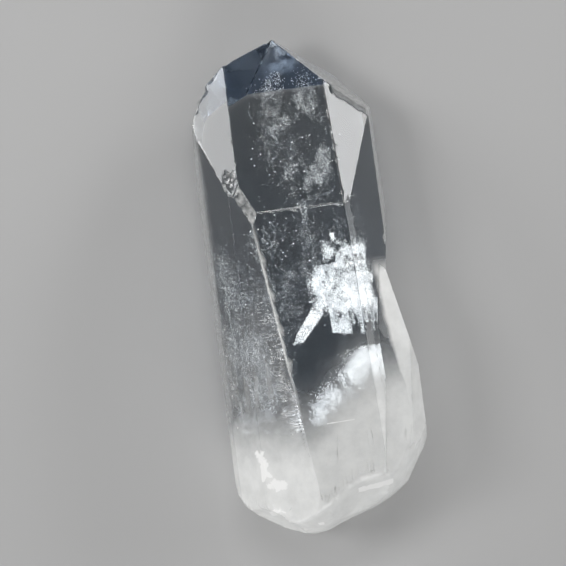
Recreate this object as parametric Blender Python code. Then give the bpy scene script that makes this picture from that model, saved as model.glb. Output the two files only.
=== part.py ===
"""A clear quartz crystal with a milky side crystal grown into its right flank.

It lies on its flat back face. X runs across it, Y runs along its length to the tip, and Z is up.
Below, sizes are in millimetres, Y is counted from the tip and Z from the face it rests on, until
the finished crystal is moved so that the origin is under the middle of its box.
"""

import math
import random

import bmesh
import bpy
from mathutils import Vector, noise

MM = 0.001

# Overall size
LENGTH = 70.0
LEFT_SIDE_X = -13.3
RIGHT_SIDE_X = 12.8
TIP_HEIGHT = 6.7

# The front: the tip face meets the front prism face along a line square to the length
TIP_FACE_LENGTH = 24.35
FRONT_HEIGHT = 16.4

# A face is (azimuth, elevation, point on it): azimuth 0 faces up (+Z) and 90 faces +X, and
# elevation leans the face's outward direction towards the tip (+Y).
TIP = (0.0, 0.0, TIP_HEIGHT)
FRONT_LINE = (0.0, -TIP_FACE_LENGTH, FRONT_HEIGHT)

TERMINATION_FACES = {
    "tip_front": (0.0, 21.8, FRONT_LINE),
    "tip_left": (-31.2, 18.9, (-7.3, -21.7, 15.4)),
    "tip_right": (31.0, 19.9, (6.9, -TIP_FACE_LENGTH, FRONT_HEIGHT)),
    "tip_upper_right": (71.5, 46.2, TIP),
    "tip_back": (180.0, 38.2, TIP),
    "tip_back_left": (-149.9, 43.5, TIP),
    "shoulder_lower_left": (-115.4, 10.9, (-13.0, -11.5, 7.8)),
    "shoulder_upper_left": (-127.3, 29.9, (-11.9, -7.7, 7.0)),
    "shoulder_right": (103.0, 33.0, (11.1, -8.8, 6.6)),
    "rough_corner": (-18.2, 12.8, (-5.4, -TIP_FACE_LENGTH, FRONT_HEIGHT)),
}

PRISM_FACES = {
    "front": (0.0, 5.6, FRONT_LINE),
    "front_left": (-39.4, 0.0, (-6.3, 0.0, FRONT_HEIGHT)),
    "left": (-57.5, 0.0, (-9.1, 0.0, 14.0)),
    "left_strip": (-78.0, 0.0, (-12.6, 0.0, 8.6)),
    "left_side": (-90.0, 0.0, (LEFT_SIDE_X, 0.0, 0.0)),
    "back_left": (-120.0, 0.0, (LEFT_SIDE_X, 0.0, 4.9)),
    "front_right_strip": (35.0, 5.6, (6.95, -TIP_FACE_LENGTH, FRONT_HEIGHT)),
    "right": (53.9, 5.0, (8.1, -23.0, 15.2)),
    "right_strip": (80.0, 1.5, (12.1, -22.5, 9.7)),
    "right_side": (90.0, 0.0, (RIGHT_SIDE_X, 0.0, 0.0)),
    "right_waist": (88.0, -7.3, (RIGHT_SIDE_X, -28.5, 0.0)),
    "back_right": (120.0, 0.0, (RIGHT_SIDE_X, 0.0, 5.6)),
    "rest": (180.0, 0.0, (0.0, 0.0, 0.0)),
}

SIDE_CRYSTAL_SIDE_X = 14.4
SIDE_CRYSTAL_FACES = {
    "top": (31.8, 12.9, (10.4, -34.4, 13.6)),
    "front": (26.6, 6.0, (9.15, -41.4, 16.4)),
    "outer": (63.4, -0.5, (12.9, -50.2, 15.8)),
    "upper_side": (90.0, 11.5, (13.05, -41.6, 0.0)),
    "side": (90.0, 0.0, (SIDE_CRYSTAL_SIDE_X, 0.0, 0.0)),
    "under": (140.0, 0.0, (SIDE_CRYSTAL_SIDE_X, 0.0, 9.4)),
    "root": (-90.0, 0.0, (6.8, 0.0, 0.0)),
    "end": (98.0, 48.0, (11.4, -34.6, 9.0)),
}

# The broken base is a lumpy dome. Its outline, seen from the front, runs left to right as (x, y).
BASE_OUTLINE = (
    (-14.2, -58.5),
    (-13.7, -63.0),
    (-12.4, -65.3),
    (-9.2, -68.2),
    (-5.2, -69.9),
    (-2.2, -LENGTH - 0.2),
    (2.6, -68.8),
    (8.3, -66.4),
    (11.0, -64.4),
    (14.1, -59.6),
    (SIDE_CRYSTAL_SIDE_X + 0.7, -55.0),
)
BASE_CENTRE = (0.5, -56.0)
BASE_MIDDLE_Z = 9.4
BASE_HALF_DEPTH = 13.6
BASE_ROUNDNESS = 2.4
BASE_STEPS_ALONG = 46
BASE_STEPS_UP = 30
BASE_REACH = 0.93
LUMP_SIZE = 6.5
LUMP_DEPTH = 1.1
LEDGE_SIZE = 2.6
LEDGE_DEPTH = 0.28

# Shell-shaped chips: (x, y, z of the surface point, azimuth, elevation, radius, depth)
TIP_CHIPS = (
    (-9.3, -19.9, 13.9, -46.0, 10.0, 2.6, 0.34),
    (-7.8, -20.8, 15.2, -30.0, 8.0, 2.0, 0.26),
    (-10.3, -17.6, 12.3, -48.0, 14.0, 1.6, 0.16),
    (-8.6, -3.0, 6.4, -80.0, 45.0, 1.3, 0.34),
    (-9.9, -4.6, 6.4, -80.0, 40.0, 1.2, 0.30),
    (-11.0, -6.4, 6.8, -85.0, 35.0, 1.5, 0.36),
    (-12.1, -8.3, 7.0, -80.0, 25.0, 1.1, 0.26),
    (-12.8, -10.2, 7.4, -85.0, 15.0, 1.1, 0.24),
    (9.9, -7.9, 7.6, 75.0, 40.0, 1.3, 0.48),
    (8.6, -8.6, 9.6, 45.0, 30.0, 2.0, 0.34),
    (11.4, -10.6, 8.8, 60.0, 30.0, 2.0, 0.55),
    (10.2, -10.8, 10.4, 45.0, 25.0, 1.3, 0.34),
    (12.3, -12.2, 8.4, 70.0, 20.0, 1.2, 0.34),
)
BASE_CHIPS = (
    (5.8, -64.6, 17.4, 14.0, -48.0, 13.0, 0.22),
    (-9.8, -66.4, 9.5, -40.0, -62.0, 11.0, 0.20),
    (2.0, -68.6, 6.5, 150.0, -74.0, 12.0, 0.24),
)
CHIP_ROUNDS = 4
RIB_HEIGHT = 0.018
RIB_TURNS = 5.5
RIBBED_RADIUS = 2.0
STRIKE_FROM_INSIDE = 0.6

BLOCK_SIZE = 240.0
QUARTZ_COLOUR = (0.80, 0.83, 0.86, 1.0)
QUARTZ_ROUGHNESS = 0.12
QUARTZ_IOR = 1.544
SEED = 7


def direction(azimuth, elevation):
    """Outward direction of a face."""
    a = math.radians(azimuth)
    e = math.radians(elevation)
    return Vector((math.cos(e) * math.sin(a), math.sin(e), math.cos(e) * math.cos(a)))


def cut_face(bm, azimuth, elevation, point):
    """Cut the body with one flat crystal face and close it there."""
    geometry = bm.verts[:] + bm.edges[:] + bm.faces[:]
    cut = bmesh.ops.bisect_plane(
        bm,
        geom=geometry,
        dist=1e-7,
        plane_co=Vector(point) * MM,
        plane_no=direction(azimuth, elevation),
        clear_outer=True,
    )
    rim = [e for e in cut["geom_cut"] if isinstance(e, bmesh.types.BMEdge)]
    if rim:
        bmesh.ops.edgeloop_fill(bm, edges=rim)


def finish_mesh(bm, name):
    """Turn the bmesh into an object with its faces pointing out."""
    bmesh.ops.recalc_face_normals(bm, faces=bm.faces)
    mesh = bpy.data.meshes.new(name)
    bm.to_mesh(mesh)
    bm.free()
    body = bpy.data.objects.new(name, mesh)
    bpy.context.scene.collection.objects.link(body)
    return body


def faceted_body(name, faces):
    """A block cut by every face in turn."""
    bm = bmesh.new()
    bmesh.ops.create_cube(bm, size=BLOCK_SIZE * MM)
    for azimuth, elevation, point in faces.values():
        cut_face(bm, azimuth, elevation, point)
    return finish_mesh(bm, name)


def along_outline(part):
    """The point that is this part of the way along the base's outline, by length."""
    points = [Vector(p) for p in BASE_OUTLINE]
    lengths = [(b - a).length for a, b in zip(points, points[1:])]
    left = part * sum(lengths)
    index = 0
    while left > lengths[index] and index < len(lengths) - 1:
        left -= lengths[index]
        index += 1
    return points[index].lerp(points[index + 1], left / lengths[index])


def base_depth(point):
    """How far the break lies inside the dome there: broad lumps with small sharp ledges on them."""
    broad = max(0.0, noise.noise(point / LUMP_SIZE))
    ledge = abs(noise.noise(point / LEDGE_SIZE + Vector((5.0, 0.0, 0.0))))
    return LUMP_DEPTH * broad + LEDGE_DEPTH * ledge


def fracture_ring(bm, height):
    """One level ring of the fracture form: the broken base's dome below, open far away above."""
    far = BLOCK_SIZE / 4
    rise = min(1.0, abs(height) / BASE_HALF_DEPTH)
    width = (1.0 - rise**BASE_ROUNDNESS) ** (1.0 / BASE_ROUNDNESS)
    z = BASE_MIDDLE_Z + height
    centre = Vector(BASE_CENTRE)
    ring = [Vector((-far, far)), Vector((-far, BASE_OUTLINE[0][1]))]
    for step in range(BASE_STEPS_ALONG + 1):
        spoke = along_outline(step / BASE_STEPS_ALONG) - centre
        rim = centre + spoke * width
        depth = base_depth(Vector((rim.x, rim.y, z)))
        ring.append(rim - spoke.normalized() * depth * width)
    ring += [Vector((far, BASE_OUTLINE[-1][1])), Vector((far, far))]
    return [bm.verts.new((p.x * MM, p.y * MM, z * MM)) for p in ring]


def fracture_form():
    """The form that the broken base ends in, as a stack of level rings."""
    bm = bmesh.new()
    top = BASE_HALF_DEPTH * BASE_REACH
    heights = [top * math.sin(math.pi * (i / BASE_STEPS_UP - 0.5)) for i in range(BASE_STEPS_UP + 1)]
    rings = [fracture_ring(bm, height) for height in heights]
    for lower, upper in zip(rings, rings[1:]):
        for i in range(len(lower)):
            j = (i + 1) % len(lower)
            bm.faces.new((lower[i], lower[j], upper[j], upper[i]))
    bm.faces.new(rings[0])
    bm.faces.new(rings[-1])
    bmesh.ops.triangulate(bm, faces=bm.faces)
    return finish_mesh(bm, "fracture_form")


def chip_cutter(name, chip, rng):
    """A ball with faint rings around one pole, which leaves a ribbed, shell-shaped chip."""
    x, y, z, azimuth, elevation, radius, depth = chip
    outward = direction(azimuth, elevation)
    centre = (Vector((x, y, z)) + outward * (radius - depth)) * MM
    strike = Vector([rng.uniform(-1, 1) for _ in range(3)]) - outward * STRIKE_FROM_INSIDE
    bm = bmesh.new()
    bmesh.ops.create_icosphere(bm, subdivisions=CHIP_ROUNDS, radius=1.0)
    for vert in bm.verts:
        rib = RIB_HEIGHT * math.cos(math.tau * RIB_TURNS * vert.co.angle(strike))
        vert.co *= radius * MM * (1 + rib * min(1.0, RIBBED_RADIUS / radius))
    bmesh.ops.translate(bm, verts=bm.verts, vec=centre)
    return finish_mesh(bm, name)


def set_as_cutter(body):
    """Mark a solid that only shapes another one."""
    body.hide_render = True
    body.display_type = "WIRE"


def add_boolean(body, operation, cutter):
    """Join, trim or cut the body with one other solid or a collection of them."""
    step = body.modifiers.new(cutter.name, "BOOLEAN")
    step.operation = operation
    step.solver = "EXACT"
    if isinstance(cutter, bpy.types.Collection):
        step.operand_type = "COLLECTION"
        step.collection = cutter
    else:
        step.object = cutter
        set_as_cutter(cutter)


def chip_collection():
    """Every chip's cutter, in one collection."""
    rng = random.Random(SEED)
    chips = bpy.data.collections.new("chips")
    bpy.context.scene.collection.children.link(chips)
    for number, chip in enumerate(TIP_CHIPS + BASE_CHIPS):
        cutter = chip_cutter(f"chip_{number}", chip, rng)
        bpy.context.scene.collection.objects.unlink(cutter)
        chips.objects.link(cutter)
        set_as_cutter(cutter)
    return chips


def quartz_material():
    """Clear, colourless quartz."""
    material = bpy.data.materials.new("quartz")
    material.use_nodes = True
    shader = material.node_tree.nodes["Principled BSDF"]
    shader.inputs["Base Color"].default_value = QUARTZ_COLOUR
    shader.inputs["Roughness"].default_value = QUARTZ_ROUGHNESS
    shader.inputs["Metallic"].default_value = 0.0
    shader.inputs["IOR"].default_value = QUARTZ_IOR
    shader.inputs["Transmission Weight"].default_value = 1.0
    return material


def centre_on_rest_face(body, tools):
    """Move everything so that the origin is under the middle of the crystal's box."""
    bpy.context.view_layer.update()
    shown = body.evaluated_get(bpy.context.evaluated_depsgraph_get())
    corners = [Vector(corner) for corner in shown.bound_box]
    middle = (corners[0] + corners[6]) / 2
    shift = Vector((-middle.x, -middle.y, -corners[0].z))
    for item in [body, *tools]:
        item.location = shift


def build():
    """The whole crystal, as one object."""
    for old in list(bpy.data.objects):
        bpy.data.objects.remove(old)
    crystal = faceted_body("quartz_crystal", {**PRISM_FACES, **TERMINATION_FACES})
    side_crystal = faceted_body("side_crystal", SIDE_CRYSTAL_FACES)
    fracture = fracture_form()
    chips = chip_collection()
    add_boolean(crystal, "UNION", side_crystal)
    add_boolean(crystal, "INTERSECT", fracture)
    add_boolean(crystal, "DIFFERENCE", chips)
    crystal.data.materials.append(quartz_material())
    centre_on_rest_face(crystal, [side_crystal, fracture, *chips.objects])


build()
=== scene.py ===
import math
import random

import bpy
import numpy as np
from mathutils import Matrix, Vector, noise


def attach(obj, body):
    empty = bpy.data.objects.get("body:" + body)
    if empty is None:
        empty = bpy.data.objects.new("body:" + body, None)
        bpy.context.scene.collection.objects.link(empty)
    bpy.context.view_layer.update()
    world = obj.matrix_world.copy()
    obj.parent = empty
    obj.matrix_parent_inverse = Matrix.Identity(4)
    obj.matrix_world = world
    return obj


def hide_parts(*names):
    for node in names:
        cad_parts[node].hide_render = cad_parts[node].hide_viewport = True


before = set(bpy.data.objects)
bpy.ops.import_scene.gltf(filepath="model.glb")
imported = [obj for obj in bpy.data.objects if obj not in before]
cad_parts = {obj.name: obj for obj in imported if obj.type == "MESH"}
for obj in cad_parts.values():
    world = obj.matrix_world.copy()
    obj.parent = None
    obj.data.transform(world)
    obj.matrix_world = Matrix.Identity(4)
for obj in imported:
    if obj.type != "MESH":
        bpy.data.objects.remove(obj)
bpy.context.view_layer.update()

MM = 0.001


# The crystal: one colourless quartz crystal with a pointed tip, and a milky side crystal that grew
# into its right flank. Its faces are flat and glassy, as they grew, with fine steps across the left
# ones. Its shoulders are chipped, and its lower end is a rough break that was worn round.

# Places and sizes are in millimetres: x across the crystal, y along it to the tip, z up from the
# face that it rests on. These are the longest edges of the mesh in each zone
RIDGE_EDGE = 0.34
STEPPED_EDGE = 0.19
BROKEN_EDGE = 0.40
BASE_EDGE = 0.9
CHIPPED_EDGE = 0.25
PLAIN_EDGE = 1.6
SPLIT_ROUNDS = 24

# Triangles of one crystal face lie as flat as this, and cover at least this many square millimetres
CRYSTAL_FACE_TILT = math.radians(0.6)
CRYSTAL_FACE_AREA = 1.2
RIDGE_TILT = math.radians(12.0)

# Above these heights a point is on the upper side, or by the front face. In the last band down to
# the rest face the surface goes back to the solid's
UPPER_SIDE = 6.0
FRONT_SIDE = 8.0
REST_BAND = (0.02, 0.25)
# The highest place along the crystal that the broken base reaches
BREAK_TOP = -19.0
BASE_MESH_TOP = BREAK_TOP - 1.0
LONG_RIDGE_X = -5.56
LONG_RIDGE_LEAN = 0.119

# Points that are the same to this many digits are one point
SAME_POINT_DIGITS = 3
TINY = 1e-12
# How far from a chipped spot the underside counts as, in the spot's half sizes
FAR = 9.0


def ramp(value, low, high):
    """Rise smoothly from 0 at low to 1 at high."""
    t = np.clip((value - low) / (high - low), 0.0, 1.0)
    return t * t * (3.0 - 2.0 * t)


def noise_at(points, size, shift=0.0):
    """Soft noise from -1 to 1 at each point. Another shift gives another pattern."""
    moved = Vector((shift, shift, shift))
    return np.array([noise.noise(Vector(p) / size + moved) for p in points])


def uneven(points, middle, swing, size, shift):
    """A value at each point that wanders about the middle one in soft patches."""
    return middle + swing * noise_at(points, size, shift)


def unit(directions):
    """The same directions with length one."""
    return directions / np.maximum(np.linalg.norm(directions, axis=1, keepdims=True), TINY)


def solid_triangles(solid):
    """The solid's points in millimetres, and its triangles as rows of point numbers."""
    mesh = solid.data
    mesh.calc_loop_triangles()
    points = np.array([v.co for v in mesh.vertices], float) / MM
    corners = np.array([t.vertices for t in mesh.loop_triangles])
    rounded = np.round(points, SAME_POINT_DIGITS)
    _, first, number = np.unique(rounded, axis=0, return_index=True, return_inverse=True)
    corners = number.reshape(-1)[corners]
    whole = (corners != np.roll(corners, 1, axis=1)).all(axis=1)
    return points[first], corners[whole]


def edges_of(triangles):
    """Every edge once, and the numbers of each triangle's three edges."""
    pairs = np.stack([triangles, np.roll(triangles, -1, axis=1)], axis=2).reshape(-1, 2)
    pairs.sort(axis=1)
    total = triangles.max() + 1
    codes, number = np.unique(pairs[:, 0] * total + pairs[:, 1], return_inverse=True)
    return np.stack([codes // total, codes % total], axis=1), number.reshape(-1, 3)


def face_normals(points, triangles):
    """Each triangle's outward direction, as long as twice its area."""
    a, b, c = (points[triangles[:, i]] for i in range(3))
    return np.cross(b - a, c - a)


def point_normals(points, triangles):
    """The outward direction at each point."""
    directions = face_normals(points, triangles)
    total = np.zeros_like(points)
    for corner in range(3):
        np.add.at(total, triangles[:, corner], directions)
    return unit(total)


def edge_tilts(points, triangles):
    """Every edge, each triangle's edge numbers, and the angle between the triangles at each edge."""
    edges, number = edges_of(triangles)
    directions = unit(face_normals(points, triangles))
    total = np.zeros((len(edges), 3))
    for side in range(3):
        np.add.at(total, number[:, side], directions)
    half = np.clip(np.linalg.norm(total, axis=1) / 2, -1.0, 1.0)
    return edges, number, 2 * np.arccos(half)


def flat_patches(triangles, number, joined):
    """A patch number for every triangle: triangles that share a joined edge are in one patch."""
    patch = np.arange(len(triangles))
    owners = {}
    for triangle, row in enumerate(number):
        for edge in row:
            if joined[edge]:
                owners.setdefault(edge, []).append(triangle)
    pairs = np.array([p for p in owners.values() if len(p) == 2])
    while True:
        lowest = np.minimum(patch[pairs[:, 0]], patch[pairs[:, 1]])
        before = patch.copy()
        np.minimum.at(patch, pairs[:, 0], lowest)
        np.minimum.at(patch, pairs[:, 1], lowest)
        if (patch == before).all():
            return patch


def split_long_edges(points, triangles, marks, broken):
    """Halve every marked edge, and cut the triangles at it to fit."""
    edges, number = edges_of(triangles)
    middle = np.full(len(edges), -1)
    middle[marks] = len(points) + np.arange(marks.sum())
    points = np.vstack([points, points[edges[marks]].mean(axis=1)])
    made, kinds = [], []
    cut = middle[number]
    count = (cut >= 0).sum(axis=1)

    def keep(rows, chosen):
        made.append(rows)
        kinds.append(broken[chosen])

    whole = count == 0
    keep(triangles[whole], whole)
    for turn in range(3):
        a, b, c = (triangles[:, (turn + i) % 3] for i in range(3))
        ab, bc, ca = (cut[:, (turn + i) % 3] for i in range(3))
        one = (count == 1) & (ab >= 0)
        keep(np.stack([a, ab, c], 1)[one], one)
        keep(np.stack([ab, b, c], 1)[one], one)
        two = (count == 2) & (ca < 0)
        keep(np.stack([ab, b, bc], 1)[two], two)
        keep(np.stack([a, ab, bc], 1)[two], two)
        keep(np.stack([a, bc, c], 1)[two], two)
    three = count == 3
    a, b, c = triangles[three].T
    ab, bc, ca = cut[three].T
    for rows in ((a, ab, ca), (ab, b, bc), (ca, bc, c), (ab, bc, ca)):
        keep(np.stack(rows, 1), three)
    return points, np.vstack(made), np.concatenate(kinds)


def long_ridge_x(y):
    """How far right the long ridge, between the front face and the left ones, is at each y."""
    return LONG_RIDGE_X - LONG_RIDGE_LEAN * y


# Where the fine steps fade in and out: left of the long ridge, at their two ends, and upwards
STEPS_FROM_RIDGE = (-3.8, -1.6)
STEPS_UPPER_END = (6.0, -7.0)
STEPS_LOWER_END = (-24.0, -19.0)
STEPS_HEIGHT = (4.0, 7.0)
# Where they are stronger than this, the mesh is fine enough for them
STEPS_SHOW = 0.05
# How far each step wanders along the crystal, and in patches of what size
STEP_WANDER = ((0.6, 1.7), (0.14, 0.6))
STEP_LENGTH = 0.55
# The share of a step's length in which it rises from its foot to its crest
STEP_RISE = 0.3


def stepped(points):
    """How strongly the fine steps across the crystal show at each point, from 0 to 1."""
    x, y, z = points.T
    ridge = long_ridge_x(y)
    outer, inner = (ridge + away for away in STEPS_FROM_RIDGE)
    beside_ridge = ramp(x, outer, inner) * (x < ridge)
    return beside_ridge * ramp(y, *STEPS_UPPER_END) * ramp(y, *STEPS_LOWER_END) * ramp(z, *STEPS_HEIGHT)


def step_wave(points):
    """Where each point lies on the fine steps: 0 at the foot of a step, 1 at its crest."""
    along = points[:, 1].copy()
    for distance, patch_size in STEP_WANDER:
        along += distance * noise_at(points, patch_size)
    along /= STEP_LENGTH
    along -= np.floor(along)
    return np.where(along < STEP_RISE, along / STEP_RISE, (1.0 - along) / (1.0 - STEP_RISE))


# Spots where the edges are chipped: middle and half sizes, then number, reach and depth of the dents
CHIPPED_SPOTS = (
    ((9.6, 25.2), (2.6, 3.4), 20, (0.7, 1.5), 0.40),
    ((-8.9, 15.9), (1.0, 1.2), 9, (0.35, 0.8), 0.26),
    ((-11.2, 27.4), (2.4, 4.2), 18, (0.4, 0.9), 0.18),
    ((11.2, 4.9), (0.6, 0.8), 3, (0.4, 0.7), 0.30),
)
# Dents start within this share of the spot, and have between these shares of its greatest depth
DENTS_WITHIN = 0.9
DENT_SHARE = (0.4, 1.0)
DENT_SEED = 11


def from_spot(points, middle, half):
    """How far each point on the crystal's upper side is from a spot's middle: 1 on the spot's rim."""
    away = np.hypot((points[:, 0] - middle[0]) / half[0], (points[:, 1] - middle[1]) / half[1])
    return np.where(points[:, 2] > UPPER_SIDE, away, FAR)


def dent_depth(points, on_ridge):
    """How deep small shell-shaped chips cut into the surface at each point."""
    rng = random.Random(DENT_SEED)
    depth = np.zeros(len(points))
    for middle, half, count, reach, deepest in CHIPPED_SPOTS:
        in_spot = from_spot(points, middle, half) < DENTS_WITHIN
        ridge_in_spot = in_spot & on_ridge
        near = np.flatnonzero(ridge_in_spot if ridge_in_spot.any() else in_spot)
        for _ in range(count):
            centre = points[near[rng.randrange(len(near))]]
            distance = np.linalg.norm(points - centre, axis=1) / rng.uniform(*reach)
            depth = np.maximum(depth, deepest * rng.uniform(*DENT_SHARE) * (1.0 - distance ** 2))
    return depth


def ridge_points(points, triangles, broken):
    """Which points lie on a ridge of a crystal face."""
    edges, number, tilt = edge_tilts(points, triangles)
    beside_face = np.zeros(len(edges), bool)
    beside_face[number[~broken]] = True
    on_ridge = np.zeros(len(points), bool)
    on_ridge[edges[(tilt > RIDGE_TILT) & beside_face]] = True
    return on_ridge


def broken_triangles(points, triangles):
    """Which of the solid's triangles lie in a break, and not in a face that grew flat."""
    _, number, tilt = edge_tilts(points, triangles)
    patch = flat_patches(triangles, number, tilt < CRYSTAL_FACE_TILT)
    areas = np.bincount(patch, np.linalg.norm(face_normals(points, triangles), axis=1) / 2)
    return areas[patch] < CRYSTAL_FACE_AREA


def fine_triangles(points, triangles):
    """Triangles small enough for the ridges, the steps and the break. Big flat faces stay coarse."""
    broken = broken_triangles(points, triangles)
    for _ in range(SPLIT_ROUNDS):
        edges, number = edges_of(triangles)
        on_ridge = ridge_points(points, triangles, broken)
        ends = points[edges]
        length = np.linalg.norm(ends[:, 0] - ends[:, 1], axis=1)
        limit = np.full(len(edges), PLAIN_EDGE)
        in_break = np.zeros(len(edges), bool)
        in_break[number[broken]] = True
        limit[in_break] = BROKEN_EDGE
        halfway = ends.mean(axis=1)
        limit[halfway[:, 1] < BASE_MESH_TOP] = BASE_EDGE
        limit[stepped(halfway) > STEPS_SHOW] = STEPPED_EDGE
        for middle, half, *_ in CHIPPED_SPOTS:
            limit[from_spot(halfway, middle, half) < 1.0] = CHIPPED_EDGE
        limit[on_ridge[edges].any(axis=1)] = RIDGE_EDGE
        longest = number[np.arange(len(number)), length[number].argmax(axis=1)]
        marks = np.zeros(len(edges), bool)
        marks[longest] = True
        marks &= length > limit
        if not marks.any():
            break
        points, triangles, broken = split_long_edges(points, triangles, marks, broken)
    return points, triangles, broken


# Between these two places the crystal's faces grow rounder towards the break, in this many passes
WORN_ROUND = (BREAK_TOP - 2.0, BREAK_TOP - 9.0)
BREAK_SMOOTHING = 14


def smooth_break(points, triangles, broken):
    """Round the broken base and the ends of the faces there, as wear does."""
    edges, _ = edges_of(triangles)
    loose = ramp(points[:, 1], *WORN_ROUND)
    inside_break = np.ones(len(points), bool)
    inside_break[triangles[~broken]] = False
    loose[inside_break & (points[:, 1] < BREAK_TOP)] = 1.0
    loose *= ramp(points[:, 2], *REST_BAND)
    for _ in range(BREAK_SMOOTHING):
        total = np.zeros_like(points)
        count = np.zeros(len(points))
        for a, b in ((0, 1), (1, 0)):
            np.add.at(total, edges[:, a], points[edges[:, b]])
            np.add.at(count, edges[:, a], 1)
        average = total / count[:, None]
        points = points + (average - points) * loose[:, None] / 2
    return points


# Two directions are the same where the cosine of the angle between them is above this
SAME_DIRECTION = 0.998


def on_face(points, triangles, facing):
    """Which points lie on a face that looks in the given direction."""
    directions = unit(face_normals(points, triangles))
    here = directions @ np.array(Vector(facing).normalized()) > SAME_DIRECTION
    found = np.zeros(len(points))
    found[triangles[here]] = 1.0
    return found


# The direction that the small rough face above the long ridge looks in, and how rough it is
ROUGH_CORNER = (-0.305, 0.222, 0.926)
CORNER_ROUGHNESS = 0.8
STEP_DEPTH = 0.10
# The break's grain: coarse pits with finer ones in them, so many times smaller and less deep
GRAIN_SIZE = 0.9
FINER_GRAIN = 2.1
FINER_GRAIN_SHARE = 0.5
GRAIN_DEPTH = 0.10
# The grain's share of that depth above the base, and how much more it has in the base
GRAIN_SHARE = (0.6, 0.4)
GRAIN_BASE = (BREAK_TOP, BREAK_TOP - 3.0)
# How deep a ridge is worn all along, and how much deeper its nicks are
RIDGE_WEAR = 0.045
NICK_SIZE = 1.1
NICK_DEPTH = 0.12
NICK_PATTERN = 7.0
DEEP_NICKS = (0.18, 0.55)
# How uneven the steps are: middle, swing, size of the patches, and a shift for their own pattern
STEP_PATCHES = (0.6, 0.5, 1.3, 4.0)


def nicks(points, low, high):
    """Where the ridges are nicked: 0 where the noise is low, 1 where it is high."""
    return ramp(noise_at(points, NICK_SIZE, NICK_PATTERN), low, high)


def worn_depth(points, triangles, broken):
    """How far each point lies below the solid's surface: steps, grain, worn and nicked ridges."""
    on_ridge = ridge_points(points, triangles, broken)
    in_break = np.zeros(len(points), bool)
    in_break[triangles[broken]] = True
    depth = STEP_DEPTH * step_wave(points) * stepped(points) * uneven(points, *STEP_PATCHES)
    coarse, fine = (np.abs(noise_at(points, size)) for size in (GRAIN_SIZE, GRAIN_SIZE / FINER_GRAIN))
    pits = coarse + FINER_GRAIN_SHARE * fine
    more_in_base = ramp(points[:, 1], *GRAIN_BASE)
    depth += GRAIN_DEPTH * pits * in_break * (GRAIN_SHARE[0] + GRAIN_SHARE[1] * more_in_base)
    depth += on_ridge * (RIDGE_WEAR + NICK_DEPTH * nicks(points, *DEEP_NICKS))
    depth += CORNER_ROUGHNESS * GRAIN_DEPTH * pits * on_face(points, triangles, ROUGH_CORNER)
    return depth + dent_depth(points, on_ridge)


# Fine damage is white. The lower edge of the point's front face has a painted highlight, a thin white
# line
POINT_EDGE_Y = 10.7
POINT_EDGE_BAND = 0.8
POINT_EDGE_HALF_WIDTH = 6.9
POINT_EDGE_HIGHLIGHT = 0.5
# The long ridge's painted highlight, a white line: its soft sides and ends, its brightest stretch, its
# least whiteness and how much more it has there. Its waver is a reach, a size and a pattern's shift
RIDGE_LINE_SIDES = (0.27, 0.06)
RIDGE_LINE_WAVER = (0.04, 0.8, 3.0)
RIDGE_LINE_LOWER_END = (-23.0, -18.0)
RIDGE_LINE_UPPER_END = (9.5, 8.0)
BRIGHTEST_TOP = (8.0, 2.0)
BRIGHTEST_FOOT = (-14.0, -9.0)
RIDGE_LINE_HIGHLIGHT = (0.50, 0.45)
# The dull bloom in long streaks on the left faces, from a little way beside the long ridge
BLOOM_GAP = 0.05
BLOOM_STREAKS = (0.65, 0.6, 1.0, 12.0)
BLOOM_STRETCH = (1.6, 0.22, 1.0)
BLOOM_LENGTH = (2.0, -13.0)
BLOOM_HEIGHT = (5.0, 8.0)


def point_edge_highlight(points):
    """How white each point is from the painted highlight on the lower edge of the point's front face.
    """
    x, y, z = points.T
    near = (np.abs(y - POINT_EDGE_Y) < POINT_EDGE_BAND) & (np.abs(x) < POINT_EDGE_HALF_WIDTH)
    return POINT_EDGE_HIGHLIGHT * (near & (z > FRONT_SIDE))


def painted_ridge_highlight(points):
    """How white each point is from the painted highlight along the long ridge."""
    x, y, z = points.T
    waver, waver_size, pattern = RIDGE_LINE_WAVER
    from_ridge = np.abs(x - long_ridge_x(y)) + waver * noise_at(points, waver_size, pattern)
    along = ramp(y, *RIDGE_LINE_LOWER_END) * ramp(y, *RIDGE_LINE_UPPER_END) * (z > FRONT_SIDE)
    least, more = RIDGE_LINE_HIGHLIGHT
    strongest = least + more * ramp(y, *BRIGHTEST_TOP) * ramp(y, *BRIGHTEST_FOOT)
    return strongest * ramp(from_ridge, *RIDGE_LINE_SIDES) * along


def left_bloom(points):
    """How much of the left faces' dull, streaky bloom each point has, from 0 to 1."""
    x, y, z = points.T
    left = x < long_ridge_x(y) - BLOOM_GAP
    streaks = np.clip(uneven(points * BLOOM_STRETCH, *BLOOM_STREAKS), 0.0, 1.0)
    return left * streaks * ramp(y, *BLOOM_LENGTH) * ramp(z, *BLOOM_HEIGHT)


# How white each kind of damage is at most, and between which values it fades in
BREAK_FROST = 0.45
# A ridge's least whiteness, and how much more it has where it is nicked
RIDGE_FROST = (0.12, 0.6)
WHITE_NICKS = (0.0, 0.5)
# The rough corner's uneven whiteness, and the steps' painted crest highlights: middle, swing, size of
# the patches, shift
CORNER_FUZZ = (0.40, 0.9, 0.6, 2.0)
LEAST_CORNER_FUZZ = 0.08
CREST_PATCHES = (0.3, 0.5, 1.1, 9.0)
CREST = (0.6, 0.95)
CREST_HIGHLIGHT = 0.7
CHIP_FROST = 0.30
WHITE_DENTS = (0.02, 0.16)
# The worn outermost edge of the left flank
FLANK_X = (-12.4, -13.3)
FLANK_Y = (30.0, 20.0)
FLANK_FROST = 0.36
BLOOM_FROST = 0.30
# Narrow faces painted pale, a painted reflection of the bright surround: the direction that each one
# looks in, and how white it is
PAINTED_REFLECTION_FACES = (((0.656, 0.722, 0.22), 0.50), ((0.984, 0.026, 0.174), 0.50))


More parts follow.
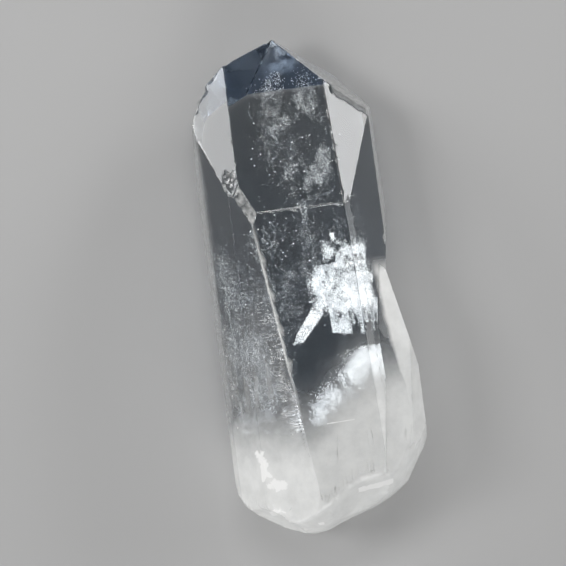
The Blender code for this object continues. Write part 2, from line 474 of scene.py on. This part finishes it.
def frost_and_shine_amount(points, triangles, broken):
    """How white each point is from fine damage and bloom, and from painted highlights and reflections.
    """
    on_ridge = ridge_points(points, triangles, broken)
    frost_and_shine = np.zeros(len(points))
    frost_and_shine[triangles[broken]] = BREAK_FROST
    least, more = RIDGE_FROST
    fuzz = np.clip(uneven(points, *CORNER_FUZZ), LEAST_CORNER_FUZZ, 1.0)
    crest_highlights = ramp(step_wave(points), *CREST) * np.clip(uneven(points, *CREST_PATCHES), 0.0, 1.0)
    flank = ramp(points[:, 0], *FLANK_X) * ramp(points[:, 1], *FLANK_Y)
    layers = [
        on_ridge * (least + more * nicks(points, *WHITE_NICKS)),
        # painted highlight on the lower edge of the point's front face
        on_ridge * point_edge_highlight(points),
        # painted highlight along the long ridge
        painted_ridge_highlight(points),
        fuzz * on_face(points, triangles, ROUGH_CORNER),
        # painted highlights along the steps' crests
        CREST_HIGHLIGHT * crest_highlights * stepped(points),
        CHIP_FROST * ramp(dent_depth(points, on_ridge), *WHITE_DENTS),
        FLANK_FROST * flank,
        BLOOM_FROST * left_bloom(points),
    ]
    # painted reflections on two narrow faces
    layers += [whiteness * on_face(points, triangles, facing) for facing, whiteness in PAINTED_REFLECTION_FACES]
    for layer in layers:
        frost_and_shine = np.maximum(frost_and_shine, layer)
    return frost_and_shine


# Edges that bend by more than these angles stay sharp: in the chips and steps, and elsewhere
SHARP_ANGLE = math.radians(11.0)
WORN_SHARP_ANGLE = math.radians(45.0)
CRISP_AROUND_SPOT = 1.1
CRISP_STEPS = 0.2
SMOOTH_BELOW = BREAK_TOP - 5.0


def mark_sharp_edges(mesh, points):
    """Keep the chips crisp, the worn ridges a little rounded, and the worn base smooth."""
    ends = np.empty(2 * len(mesh.edges), int)
    mesh.edges.foreach_get("vertices", ends)
    halfway = points[ends.reshape(-1, 2)].mean(axis=1)
    crisp = stepped(halfway) > CRISP_STEPS
    for middle, half, *_ in CHIPPED_SPOTS:
        crisp |= from_spot(halfway, middle, half) < CRISP_AROUND_SPOT
    sharp = np.zeros(len(halfway), bool)
    for angle, chosen in ((SHARP_ANGLE, crisp), (WORN_SHARP_ANGLE, ~crisp)):
        mesh.set_sharp_from_angle(angle=angle)
        found = np.empty(len(halfway), bool)
        mesh.edges.foreach_get("use_edge_sharp", found)
        sharp |= found & chosen
    sharp &= halfway[:, 1] > SMOOTH_BELOW
    mesh.edges.foreach_set("use_edge_sharp", sharp)


def fine_crystal():
    """The crystal's solid with a fine surface: worn ridges, steps, and grain on the break."""
    points, triangles = solid_triangles(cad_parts["quartz_crystal"])
    points, triangles, broken = fine_triangles(points, triangles)
    points = smooth_break(points, triangles, broken)
    frost_and_shine = frost_and_shine_amount(points, triangles, broken)
    depth = worn_depth(points, triangles, broken)
    depth *= ramp(points[:, 2], *REST_BAND)
    points = points - point_normals(points, triangles) * depth[:, None]
    points[:, 2] = np.maximum(points[:, 2], 0.0)
    mesh = bpy.data.meshes.new("crystal")
    mesh.from_pydata(points * MM, [], triangles)
    # The whiteness holds fine damage together with the painted highlights and reflections
    mesh.attributes.new("frost_and_shine", "FLOAT", "POINT").data.foreach_set("value", frost_and_shine)
    mesh.shade_smooth()
    mark_sharp_edges(mesh, points)
    piece = bpy.data.objects.new("crystal", mesh)
    bpy.context.scene.collection.objects.link(piece)
    return piece


def blank_material(name, colour, roughness):
    """A new material with its shader, and the tree that both are in."""
    material = bpy.data.materials.new(name)
    material.use_nodes = True
    shader = material.node_tree.nodes["Principled BSDF"]
    shader.inputs["Base Color"].default_value = colour
    shader.inputs["Roughness"].default_value = roughness
    return material, shader, material.node_tree


def feed(tree, socket, value):
    """Give a socket a number, a colour, or another node's output."""
    if isinstance(value, bpy.types.NodeSocket):
        tree.links.new(value, socket)
    else:
        socket.default_value = value


def calc(tree, operation, *values):
    """The result of one sum on numbers or sockets."""
    node = tree.nodes.new("ShaderNodeMath")
    node.operation = operation
    for socket, value in zip(node.inputs, values):
        feed(tree, socket, value)
    return node.outputs["Value"]


def fade(tree, value, start, stop, low=0.0, high=1.0):
    """Go smoothly from low to high while the value goes from start to stop."""
    node = tree.nodes.new("ShaderNodeMapRange")
    node.interpolation_type = "SMOOTHSTEP"
    feed(tree, node.inputs["Value"], value)
    for name, number in (("From Min", start), ("From Max", stop), ("To Min", low), ("To Max", high)):
        node.inputs[name].default_value = number
    return node.outputs["Result"]


def blend(tree, share, first, second):
    """A colour that goes from the first to the second as the share goes from 0 to 1."""
    node = tree.nodes.new("ShaderNodeMix")
    node.data_type = "RGBA"
    feed(tree, node.inputs["Factor"], share)
    node.inputs["A"].default_value = first
    node.inputs["B"].default_value = second
    return node.outputs["Result"]


def grain(tree, place, size, detail=4.0, stretch=(1.0, 1.0, 1.0), roughness=0.5):
    """Noise from 0 to 1 whose blots are about as big as size, in millimetres, before the stretch."""
    scaled = tree.nodes.new("ShaderNodeMapping")
    scaled.inputs["Scale"].default_value = [1.0 / (size * MM * part) for part in stretch]
    tree.links.new(place, scaled.inputs["Vector"])
    node = tree.nodes.new("ShaderNodeTexNoise")
    node.inputs["Scale"].default_value = 1.0
    node.inputs["Detail"].default_value = detail
    node.inputs["Roughness"].default_value = roughness
    tree.links.new(scaled.outputs["Vector"], node.inputs["Vector"])
    return node.outputs["Fac"]


def wandering(tree, place, size, **looks):
    """The same noise, from -0.5 to 0.5, to make an edge wander."""
    return calc(tree, "SUBTRACT", grain(tree, place, size, **looks), 0.5)


def in_millimetres(tree):
    """Sockets for the object's own coordinates: the vector in metres, then x, y, z in millimetres."""
    place = tree.nodes.new("ShaderNodeTexCoord").outputs["Object"]
    split = tree.nodes.new("ShaderNodeSeparateXYZ")
    tree.links.new(place, split.inputs["Vector"])
    return (place, *(calc(tree, "MULTIPLY", split.outputs[axis], 1.0 / MM) for axis in "XYZ"))


# The milk in the base: where along the crystal it comes in, how its front wanders, and how much
# further up it reaches on the right
MILK_FRONT = (-10.0, -25.5)
MILK_FRONT_SIZE = 5.0
MILK_WANDER = 6.0
MILK_RISE = (-3.0, 7.5, 0.0, 6.5)
# Above 1 the milk comes in slowly at first
MILK_CURVE = 1.5
# The milk in the side crystal: the slanting seam that it stops at, and its upper end
SEAM = (8.9, 9.9)
SEAM_LEAN = 0.115
SEAM_WANDER = 1.2
SEAM_SIZE = 3.0
SIDE_TOP = (3.0, 0.0)


def milk_in_base(tree, place, x, y):
    """How milky the crystal is for its base: a ragged front that is higher on the right."""
    wander = wandering(tree, place, MILK_FRONT_SIZE, detail=7.0, roughness=0.62)
    right = fade(tree, x, *MILK_RISE)
    height = calc(tree, "SUBTRACT", calc(tree, "MULTIPLY_ADD", wander, MILK_WANDER, y), right)
    return calc(tree, "POWER", fade(tree, height, *MILK_FRONT), MILK_CURVE)


def milk_in_side(tree, place, x, y):
    """How milky the side crystal is: all through, with a soft edge where it joins the main one."""
    wavy_x = calc(tree, "MULTIPLY_ADD", wandering(tree, place, SEAM_SIZE), SEAM_WANDER, x)
    seam = calc(tree, "MULTIPLY_ADD", y, SEAM_LEAN, wavy_x)
    return calc(tree, "MULTIPLY", fade(tree, seam, *SEAM), fade(tree, y, *SIDE_TOP))


# Painted reflections: white patches where cracks and steps just under the milky skin catch the light:
# middle, half sizes, turn in degrees, raggedness
PAINTED_GLINT_PATCHES = (
    ((-9.5, -24.3), (0.8, 2.2), 8.0, 2.2),
    ((-8.0, -27.2), (1.5, 0.9), -20.0, 2.0),
    ((5.6, -28.9), (2.6, 0.42), 7.0, 0.7),
    ((-8.6, -31.0), (1.1, 0.6), 25.0, 1.8),
    ((-2.6, -33.2), (0.5, 0.3), 0.0, 0.8),
    ((1.95, -19.4), (2.0, 0.11), 1.7, 0.12),
)
PATCH_RAG_SIZE = 1.2
PATCH_SOFTNESS = 0.2
LEAST_PATCH_SOFTNESS = 0.1
# The patches are on the front only: they fade in between these heights
PATCH_HEIGHT = (7.0, 9.0)
PATCH_MILK = 0.95
PATCH_WHITENING = 0.6


def soft_patch(tree, place, x, y, middle, half, turn, raggedness):
    """From 1 in a turned, ragged rectangle on the front to 0 outside it."""
    across = calc(tree, "SUBTRACT", x, middle[0])
    along = calc(tree, "SUBTRACT", y, middle[1])
    cos_turn, sin_turn = math.cos(math.radians(turn)), math.sin(math.radians(turn))
    turned_x = calc(tree, "MULTIPLY_ADD", across, cos_turn, calc(tree, "MULTIPLY", along, sin_turn))
    turned_y = calc(tree, "MULTIPLY_ADD", along, cos_turn, calc(tree, "MULTIPLY", across, -sin_turn))
    past_x = calc(tree, "SUBTRACT", calc(tree, "ABSOLUTE", turned_x), half[0])
    past_y = calc(tree, "SUBTRACT", calc(tree, "ABSOLUTE", turned_y), half[1])
    ragged = wandering(tree, place, PATCH_RAG_SIZE, detail=5.0)
    past = calc(tree, "MULTIPLY_ADD", ragged, raggedness, calc(tree, "MAXIMUM", past_x, past_y))
    softness = max(LEAST_PATCH_SOFTNESS, PATCH_SOFTNESS * raggedness)
    return fade(tree, past, softness, -softness)


def painted_glint_patches(tree, place, x, y, z):
    """From 1 in the painted reflections of the cracks on the front to 0 outside them."""
    patches = 0.0
    for patch in PAINTED_GLINT_PATCHES:
        patches = calc(tree, "MAXIMUM", patches, soft_patch(tree, place, x, y, *patch))
    return calc(tree, "MULTIPLY", patches, fade(tree, z, *PATCH_HEIGHT))


CLEAR_COLOUR = (0.88, 0.885, 0.87, 1.0)
# The white that the painted reflections are painted in
PAINTED_GLINT_COLOUR = (0.95, 0.95, 0.94, 1.0)
QUARTZ_IOR = 1.544
# What deep quartz tints white light to, and how strongly
DEPTH_TINT = (0.64, 0.70, 0.78, 1.0)
DEPTH_TINT_STRENGTH = 60.0
CLEAR_ROUGHNESS = 0.015
MILKY_ROUGHNESS = 0.26
# The milk is this dense at most, and a little thinner in blots: the two values of the noise that
# the blots lie between, and how dense the milk is at each. The damage's crumbs say the same
MILK_MOST = 0.84
MILK_BLOT_SIZE = 2.4
MILK_BLOTS = (0.25, 0.75, 0.86 * MILK_MOST, MILK_MOST)
CRUMB_SIZE = 0.35
CRUMBS = (0.25, 0.75, 0.55, 1.0)
# Light goes a little way into the milk and comes out again
MILK_SCATTER = 0.5
MILK_SCATTER_DEPTH = 1.2 * MM
# The low swells that growth leaves on flat faces
HILLOCK_SIZE = 1.1
HILLOCK_STRETCH = (1.0, 1.8, 1.0)
HILLOCK_HEIGHT = 0.02 * MM
HILLOCK_STRENGTH = 0.25


def clear_quartz():
    """Clear quartz that turns milky towards the base and in the side crystal, with painted highlights
    and reflections in white.
    """
    material, shader, tree = blank_material("clear quartz", CLEAR_COLOUR, CLEAR_ROUGHNESS)
    shader.inputs["IOR"].default_value = QUARTZ_IOR
    absorption = tree.nodes.new("ShaderNodeVolumeAbsorption")
    absorption.inputs["Color"].default_value = DEPTH_TINT
    absorption.inputs["Density"].default_value = DEPTH_TINT_STRENGTH
    tree.links.new(absorption.outputs["Volume"], tree.nodes["Material Output"].inputs["Volume"])

    place, x, y, z = in_millimetres(tree)
    milk_and_glints = calc(tree, "MAXIMUM", milk_in_base(tree, place, x, y), milk_in_side(tree, place, x, y))
    blots = grain(tree, place, MILK_BLOT_SIZE, detail=5.0, roughness=0.6)
    milk_and_glints = calc(tree, "MULTIPLY", milk_and_glints, fade(tree, blots, *MILK_BLOTS))
    # Whiteness from damage, with painted highlights and reflections, makes the surface milky
    frost_and_shine = tree.nodes.new("ShaderNodeAttribute")
    frost_and_shine.attribute_name = "frost_and_shine"
    crumbs = fade(tree, grain(tree, place, CRUMB_SIZE, detail=6.0, roughness=0.65), *CRUMBS)
    milk_and_glints = calc(tree, "MAXIMUM", milk_and_glints, calc(tree, "MULTIPLY", frost_and_shine.outputs["Fac"], crumbs))
    # Painted reflections: the cracks' glints are painted milkier and whiter
    patches = painted_glint_patches(tree, place, x, y, z)
    milk_and_glints = calc(tree, "MAXIMUM", milk_and_glints, calc(tree, "MULTIPLY", patches, PATCH_MILK))
    whitening = calc(tree, "MULTIPLY", patches, PATCH_WHITENING)
    colour = blend(tree, whitening, CLEAR_COLOUR, PAINTED_GLINT_COLOUR)
    feed(tree, shader.inputs["Base Color"], colour)
    feed(tree, shader.inputs["Transmission Weight"], calc(tree, "SUBTRACT", 1.0, milk_and_glints))
    polish = fade(tree, milk_and_glints, 0.0, MILK_MOST, CLEAR_ROUGHNESS, MILKY_ROUGHNESS)
    feed(tree, shader.inputs["Roughness"], polish)
    shader.inputs["Subsurface Weight"].default_value = MILK_SCATTER
    shader.inputs["Subsurface Radius"].default_value = (1.0, 1.0, 1.0)
    shader.inputs["Subsurface Scale"].default_value = MILK_SCATTER_DEPTH

    hillocks = tree.nodes.new("ShaderNodeBump")
    hillocks.inputs["Strength"].default_value = HILLOCK_STRENGTH
    hillocks.inputs["Distance"].default_value = HILLOCK_HEIGHT
    swells = grain(tree, place, HILLOCK_SIZE, detail=4.0, stretch=HILLOCK_STRETCH)
    feed(tree, hillocks.inputs["Height"], swells)
    feed(tree, shader.inputs["Normal"], hillocks.outputs["Normal"])
    return material


crystal = fine_crystal()
crystal.data.materials.append(clear_quartz())
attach(crystal, "root")
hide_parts("quartz_crystal")


# The veils: sheets of tiny flat bubbles and cracks that healed while the crystal grew. They hang
# inside the clear part as white clouds with wispy edges, and each bubble is a separate small flake.

# Each veil: outline in mm seen from the front, height and slopes of its sheet, thickness, how
# ragged its rim is, how patchy it is, and the number and size of its flakes
VEILS = {
    "cloud": dict(
        outline=((2.6, 2.2), (6.6, 1.2), (7.7, -0.9), (7.4, -3.4), (5.4, -4.4), (3.4, -4.0),
                 (1.9, -5.0), (0.9, -4.4), (-0.2, -2.2), (0.2, 0.0), (1.4, 1.4)),
        height=10.5, slope=(0.20, -0.25), thickness=0.8, rim=0.40, patchy=1.3,
        flakes=12000, size=0.075,
    ),
    "square": dict(
        outline=((2.4, -3.6), (7.5, -3.2), (7.2, -8.3), (2.6, -7.5)),
        height=9.6, slope=(0.05, 0.35), thickness=0.3, rim=0.07, patchy=1.0,
        flakes=5000, size=0.07,
    ),
    "ribbon": dict(
        outline=((1.6, -3.6), (1.3, -4.9), (-1.7, -8.2), (-3.2, -8.5), (-2.4, -6.9), (0.3, -3.4)),
        height=11.5, slope=(0.15, 0.10), thickness=0.15, rim=0.06, patchy=0.6,
        flakes=2300, size=0.065,
    ),
    "crown": dict(
        outline=((2.6, 5.6), (3.4, 4.4), (4.6, 3.8), (6.4, 4.4), (7.0, 3.0), (6.8, 1.4),
                 (3.2, 1.8), (2.4, 3.4)),
        height=11.0, slope=(0.1, -0.5), thickness=0.7, rim=0.35, patchy=2.6,
        flakes=2600, size=0.07,
    ),
    "spark": dict(
        outline=((3.9, 6.6), (4.4, 6.5), (5.4, 5.0), (5.0, 4.8)),
        height=11.5, slope=(0.0, 0.0), thickness=0.3, rim=0.28, patchy=2.0,
        flakes=170, size=0.08,
    ),
    "lower_arm": dict(
        outline=((6.3, -9.8), (7.5, -10.4), (6.8, -13.2), (4.8, -15.0), (2.8, -16.4), (0.4, -18.8),
                 (-1.6, -20.2), (-2.3, -19.6), (-0.9, -17.4), (1.6, -15.2), (3.2, -13.4),
                 (5.0, -11.6)),
        height=10.0, slope=(0.15, 0.15), thickness=1.2, rim=0.45, patchy=0.9,
        flakes=9000, size=0.08,
    ),
    "tip_mist": dict(
        outline=((-5.6, 26.0), (-1.4, 30.5), (4.2, 28.5), (5.4, 20.0), (5.6, 12.2), (-1.0, 11.8),
                 (-3.0, 16.0)),
        height=8.5, slope=(0.0, -0.25), thickness=3.0, rim=0.8, patchy=4.5,
        flakes=5000, size=0.05,
    ),
    "middle_mist": dict(
        outline=((-6.0, 10.5), (6.0, 11.5), (6.4, 4.0), (2.0, 1.0), (-0.5, -2.0), (-2.0, -7.0),
                 (-4.6, -4.0)),
        height=9.0, slope=(0.0, 0.0), thickness=3.0, rim=0.6, patchy=4.5,
        flakes=2600, size=0.05,
    ),
    "left_mist": dict(
        outline=((-12.4, 7.0), (-8.0, 4.0), (-6.4, -1.0), (-4.6, -12.0), (-3.0, -20.0),
                 (-12.0, -20.0), (-12.6, -4.0)),
        height=7.5, slope=(0.2, 0.0), thickness=3.5, rim=1.2, patchy=2.6,
        flakes=7000, size=0.055,
    ),
}
VEIL_SEED = 20
# How far flakes stray over the rim, as shares of its raggedness, and off the sheet, of its thickness
RIM_SPREADS = (0.4, 1.0, 2.0)
OFF_SHEET_SPREAD = 0.5
# Wisps: the size of each noise and its strength, and how much longer than wide they are
WISPS = ((3.2, 1.0), (1.3, 0.8), (0.5, 0.4))
WISP_STRETCH = 1.8
# How full a veil is on average, and how much thinner it gets the patchier it is
FULLNESS = 0.7
THINNING = 0.08
# The sheet's gentle waves, and how far flakes tilt out of it
SHEET_WAVE = 0.9
SHEET_WAVE_SIZE = 3.0
FLAKE_TILT = 0.35
# A flake's size as a share of its veil's, and its corners and peak as shares of its own
FLAKE_SIZES = (0.5, 1.4)
CORNER_REACH = (0.6, 1.2)
FLAKE_PEAK = 0.45


def inside_outline(x, y, outline):
    """Whether a point lies within the outline."""
    inside = False
    for (x0, y0), (x1, y1) in zip(outline, outline[1:] + outline[:1]):
        if (y0 > y) != (y1 > y) and x < (x1 - x0) * (y - y0) / (y1 - y0) + x0:
            inside = not inside
    return inside


def add_flake(points, faces, centre, flat, size, rng):
    """One flat closed flake: a triangle of uneven corners, and a low peak over it."""
    side = flat.orthogonal().normalized()
    other = flat.cross(side)
    start = len(points)
    spin = rng.uniform(0.0, math.tau)
    for turn in range(3):
        a = spin + turn * math.tau / 3
        reach = size * rng.uniform(*CORNER_REACH)
        points.append(centre + (side * math.cos(a) + other * math.sin(a)) * reach)
    points.append(centre + flat * size * FLAKE_PEAK)
    faces.append((start, start + 2, start + 1))
    for turn in range(3):
        faces.append((start + turn, start + (turn + 1) % 3, start + 3))


def mesh_of(name, points, faces):
    """A mesh with the given points and faces."""
    mesh = bpy.data.meshes.new(name)
    mesh.from_pydata([tuple(p) for p in points], [], faces)
    return mesh


def veil_mesh(name, veil, rng):
    """A cloud of flakes about a sloping sheet, thinned in wisps where the noise is low."""
    points, faces = [], []
    outline = veil["outline"]
    xs, ys = zip(*outline)
    middle_x, middle_y = sum(xs) / len(xs), sum(ys) / len(ys)
    lean = Vector((-veil["slope"][0], -veil["slope"][1], 1.0))
    made = 0
    while made < veil["flakes"]:
        x = rng.uniform(min(xs), max(xs))
        y = rng.uniform(min(ys), max(ys))
        blur = veil["rim"] * rng.choice(RIM_SPREADS)
        if not inside_outline(x + rng.gauss(0, blur), y + rng.gauss(0, blur), outline):
            continue
        off_sheet = max(-1.0, min(1.0, rng.gauss(0, OFF_SHEET_SPREAD)))
        z = veil["height"] + off_sheet * veil["thickness"]
        z += (x - middle_x) * veil["slope"][0] + (y - middle_y) * veil["slope"][1]
        spot = Vector((x, y / WISP_STRETCH, z))
        wisp = sum(strength * noise.noise(spot / wisp_size) for wisp_size, strength in WISPS)
        density = FULLNESS + veil["patchy"] * (wisp - THINNING * veil["patchy"])
        if rng.random() > density:
            continue
        z += SHEET_WAVE * noise.noise(Vector((x, y, 0.0)) / SHEET_WAVE_SIZE)
        flat = (lean + Vector([rng.gauss(0, FLAKE_TILT) for _ in range(3)])).normalized()
        size = veil["size"] * rng.uniform(*FLAKE_SIZES)
        add_flake(points, faces, Vector((x, y, z)) * MM, flat, size * MM, rng)
        made += 1
    return mesh_of(name, points, faces)


VEIL_COLOUR = (0.95, 0.95, 0.93, 1.0)
VEIL_SHADE = (0.62, 0.63, 0.63, 1.0)
VEIL_ROUGHNESS = 0.6
VEIL_BLOT_SIZE = 0.8
VEIL_BLOT_STRETCH = (1.0, 1.6, 1.0)
VEIL_BLOTS = (0.35, 0.6)


def veil_white():
    """White with thinner, greyer blots, as sheets of tiny bubbles look."""
    material, shader, tree = blank_material("veil white", VEIL_COLOUR, VEIL_ROUGHNESS)
    place, *_ = in_millimetres(tree)
    blots = grain(tree, place, VEIL_BLOT_SIZE, detail=5.0, stretch=VEIL_BLOT_STRETCH)
    colour = blend(tree, fade(tree, blots, *VEIL_BLOTS), VEIL_SHADE, VEIL_COLOUR)
    feed(tree, shader.inputs["Base Color"], colour)
    return material


def place_piece(name, mesh, material):
    """Put a piece of the crystal's inside in place, with the given material, on the crystal's body."""
    piece = bpy.data.objects.new(name, mesh)
    bpy.context.scene.collection.objects.link(piece)
    mesh.materials.append(material)
    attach(piece, "root")
    return piece


veil_material = veil_white()
inner_pieces = []
for number, (veil_name, veil) in enumerate(VEILS.items()):
    veil_shape = veil_mesh(veil_name, veil, random.Random(VEIL_SEED + number))
    inner_pieces.append(place_piece("veil_" + veil_name, veil_shape, veil_material))


# The bright specks: single larger bubbles that the quartz grew around. They are scattered through
# the clear part and catch the light. Each is two flakes back to back.

SPECK_COUNT = 150
SPECK_SIZE = (0.05, 0.17)
SPECK_REGION = ((-6.0, 6.2), (-8.0, 27.0), (4.0, 13.0))
SPECK_SEED = 5

speck_rng = random.Random(SPECK_SEED)
speck_points, speck_faces = [], []
for _ in range(SPECK_COUNT):
    speck_place = Vector([speck_rng.uniform(*span) for span in SPECK_REGION]) * MM
    speck_flat = Vector([speck_rng.gauss(0, 1) for _ in range(3)]).normalized()
    speck_size = speck_rng.uniform(*SPECK_SIZE) * MM
    for facing in (speck_flat, -speck_flat):
        add_flake(speck_points, speck_faces, speck_place, facing, speck_size, speck_rng)
speck_shape = mesh_of("specks", speck_points, speck_faces)
inner_pieces.append(place_piece("specks", speck_shape, veil_material))


# The surface that the crystal lies on: a plain pale matt board. It lies a hair below the face that
# the crystal rests on.

FLOOR_SIZE = 1600.0 * MM
FLOOR_GAP = 0.2 * MM
FLOOR_COLOUR = (0.50, 0.50, 0.50, 1.0)
FLOOR_ROUGHNESS = 0.85

bpy.ops.mesh.primitive_plane_add(size=FLOOR_SIZE, location=(0.0, 0.0, -FLOOR_GAP))
floor = bpy.context.object
floor.name = "floor"
floor_material, _, _ = blank_material("pale board", FLOOR_COLOUR, FLOOR_ROUGHNESS)
floor.data.materials.append(floor_material)


# The light: soft boxes on stands. Two stand low beside the tip, so that their pale reflections fill
# the side faces of the point, and others skim the ridges and the steps or light the base. None of
# them is seen through the crystal, which keeps its clear part dark. The surround is dim and even.

# Each soft box: its name, the direction that it shines from, how far off it stands, its width and
# height in metres, and its radiance
SOFT_BOXES = (
    ("left tip light", (-0.79, 0.53, 0.31), 0.55, 0.18, 0.18, 7.5),
    ("right tip light", (0.78, 0.55, 0.30), 0.55, 0.18, 0.18, 9.8),
    ("ridge light", (0.0, 0.46, 0.89), 0.6, 0.34, 0.09, 8.0),
    ("long ridge light", (-0.62, 0.12, 0.77), 0.6, 0.14, 0.20, 9.0),
    ("right strip light", (0.93, 0.16, 0.33), 0.6, 0.36, 0.30, 2.3),
    ("left light", (-0.97, -0.05, 0.20), 0.6, 0.40, 0.16, 0.6),
    ("upper step light", (-0.90, 0.42, 0.10), 0.6, 0.20, 0.20, 5.0),
    ("lower step light", (-0.88, -0.46, 0.16), 0.6, 0.20, 0.20, 4.0),
    ("base light", (0.05, -0.93, 0.36), 0.7, 0.6, 0.5, 3.2),
)
INNER_LIGHT = ("inner light", (0.0, 0.0, 1.0), 0.027, 0.05, 0.085, 5.2)
INNER_LIGHT_COLOUR = (1.0, 0.95, 0.88)
SURROUND_COLOUR = (1.0, 0.98, 0.95, 1.0)
SURROUND_STRENGTH = 0.05


def soft_box(name, toward, distance, width, height, radiance):
    """A soft light that faces the crystal from the given direction, unseen through the quartz."""
    data = bpy.data.lights.new(name, "AREA")
    data.shape = "RECTANGLE"
    data.size = width
    data.size_y = height
    data.energy = radiance * math.pi * width * height
    light = bpy.data.objects.new(name, data)
    bpy.context.scene.collection.objects.link(light)
    away = Vector(toward).normalized()
    light.location = away * distance
    light.rotation_euler = (-away).to_track_quat("-Z", "Y").to_euler()
    light.visible_transmission = False
    return light


for box in SOFT_BOXES:
    soft_box(*box)

# Clear quartz lets light through to the veils, so one light is linked to them alone
inner_box = soft_box(*INNER_LIGHT)
inner_box.data.color = INNER_LIGHT_COLOUR
inner_box.visible_camera = False
inner_box.visible_glossy = False
lit = bpy.data.collections.new("lit inside")
for piece in inner_pieces:
    lit.objects.link(piece)
inner_box.light_linking.receiver_collection = lit
inner_box.light_linking.blocker_collection = lit

world = bpy.data.worlds.new("surround")
bpy.context.scene.world = world
world.use_nodes = True
surround = world.node_tree.nodes["Background"]
surround.inputs["Color"].default_value = SURROUND_COLOUR
surround.inputs["Strength"].default_value = SURROUND_STRENGTH


# The camera: it looks straight down at the crystal from half a metre, through a lens that takes in
# its whole length, and is turned so that the crystal leans as it does in the photograph.

VIEW_CENTRE = Vector((-3.47, 0.63, 12.0)) * MM
VIEW_WIDTH = 79.4 * MM
VIEW_DISTANCE = 500.0 * MM
VIEW_TURN = math.radians(-7.5)
SENSOR_WIDTH = 36.0

camera_data = bpy.data.cameras.new("camera")
camera_data.sensor_width = SENSOR_WIDTH
camera_data.lens = SENSOR_WIDTH * VIEW_DISTANCE / VIEW_WIDTH
camera = bpy.data.objects.new("camera", camera_data)
bpy.context.scene.collection.objects.link(camera)
camera.location = VIEW_CENTRE + Vector((0.0, 0.0, VIEW_DISTANCE))
camera.rotation_euler = (0.0, 0.0, VIEW_TURN)
bpy.context.scene.camera = camera
bpy.context.scene.view_settings.view_transform = "Standard"
